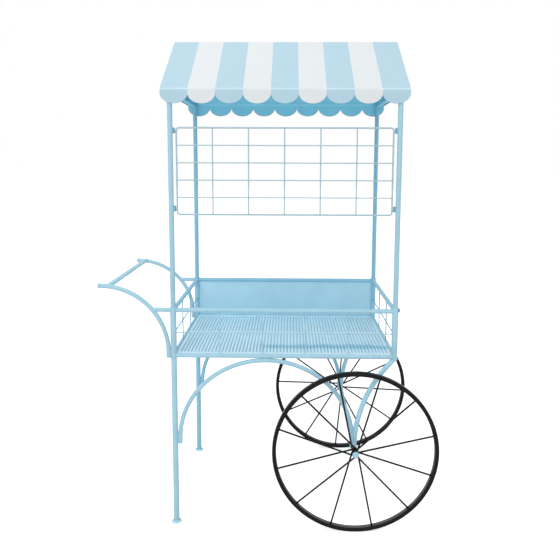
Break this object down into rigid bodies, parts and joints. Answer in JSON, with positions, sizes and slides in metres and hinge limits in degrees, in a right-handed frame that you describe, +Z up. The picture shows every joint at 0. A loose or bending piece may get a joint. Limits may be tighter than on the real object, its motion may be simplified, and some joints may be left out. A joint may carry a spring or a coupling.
{
  "type": "flower cart",
  "caption": "Display cart with a tube frame, wire-sided basket, slotted floor, striped gable canopy with scalloped edges, hanging wire grid, spoked wheels and a curved push handle.",
  "frame": {"origin": "on the floor, at the middle of the overall length and width", "axes": "+Z up; -Y towards the front, the side with the hanging grid; -X towards the push handle and +X towards the wheels"},
  "size_m": [1.2352, 0.7466, 1.807],
  "materials": {
    "pale_blue_paint": "satin powder coat",
    "roof_paint": "satin, with broad white stripes down the slopes",
    "black_paint": "semi-gloss powder coat",
    "zinc_plate": "dull zinc plate"
  },
  "bodies": {
    "cart": {"corner_post_front_left": "pale_blue_paint", "corner_post_front_right": "pale_blue_paint", "corner_post_rear_left": "pale_blue_paint", "corner_post_rear_right": "pale_blue_paint", "rail_front_bottom": "pale_blue_paint", "rail_rear_bottom": "pale_blue_paint", "rail_left_bottom": "pale_blue_paint", "rail_right_bottom": "pale_blue_paint", "rail_front_top": "pale_blue_paint", "rail_rear_top": "pale_blue_paint", "rail_left_top": "pale_blue_paint", "rail_right_top": "pale_blue_paint", "back_panel": "pale_blue_paint", "infill_front": "pale_blue_paint", "infill_left": "pale_blue_paint", "infill_right": "pale_blue_paint", "floor_sheet": "pale_blue_paint", "floor_brace": "pale_blue_paint", "foot_front": "pale_blue_paint", "foot_rear": "pale_blue_paint", "leg_front": "pale_blue_paint", "leg_rear": "pale_blue_paint", "axle": "pale_blue_paint", "arch_front": "pale_blue_paint", "arch_rear": "pale_blue_paint", "strut_front": "pale_blue_paint", "strut_rear": "pale_blue_paint", "axle_cap_front": "pale_blue_paint", "axle_cap_rear": "pale_blue_paint", "handle_arm_front": "pale_blue_paint", "handle_arm_rear": "pale_blue_paint", "handle_knob_front": "pale_blue_paint", "handle_knob_rear": "pale_blue_paint", "handle_tie_front": "pale_blue_paint", "handle_tie_rear": "pale_blue_paint", "handle_grip": "pale_blue_paint", "canopy_post_front_left": "pale_blue_paint", "canopy_post_front_right": "pale_blue_paint", "canopy_post_rear_left": "pale_blue_paint", "canopy_post_rear_right": "pale_blue_paint", "canopy_rail_left": "pale_blue_paint", "canopy_rail_right": "pale_blue_paint", "grid_hook_upper_left": "pale_blue_paint", "grid_hook_upper_right": "pale_blue_paint", "grid_hook_lower_left": "pale_blue_paint", "grid_hook_lower_right": "pale_blue_paint", "roof_sheet": "roof_paint", "gable_left": "roof_paint", "gable_right": "roof_paint", "corner_bolt": "zinc_plate"},
    "wheel_front": {"rim_front": "black_paint", "spoked_hub_front": "black_paint"},
    "wheel_rear": {"rim_rear": "black_paint", "spoked_hub_rear": "black_paint"},
    "grid": {"grid_panel": "pale_blue_paint", "grid_pin_upper_left": "pale_blue_paint", "grid_pin_upper_right": "pale_blue_paint", "grid_pin_lower_left": "pale_blue_paint", "grid_pin_lower_right": "pale_blue_paint"}
  },
  "joints": [
    {"name": "wheel_front_spin", "type": "hinge", "parent": "cart", "child": "wheel_front", "pos_m": [0.31605, -0.345, 0.3015], "axis": [0, 1, 0], "continuous": true},
    {"name": "wheel_rear_spin", "type": "hinge", "parent": "cart", "child": "wheel_rear", "pos_m": [0.31605, 0.345, 0.3015], "axis": [0, 1, 0], "continuous": true},
    {"name": "grid_lift", "type": "slide", "parent": "cart", "child": "grid", "axis": [0, 0, 1], "range_m": [0, 0.018]}
  ]
}
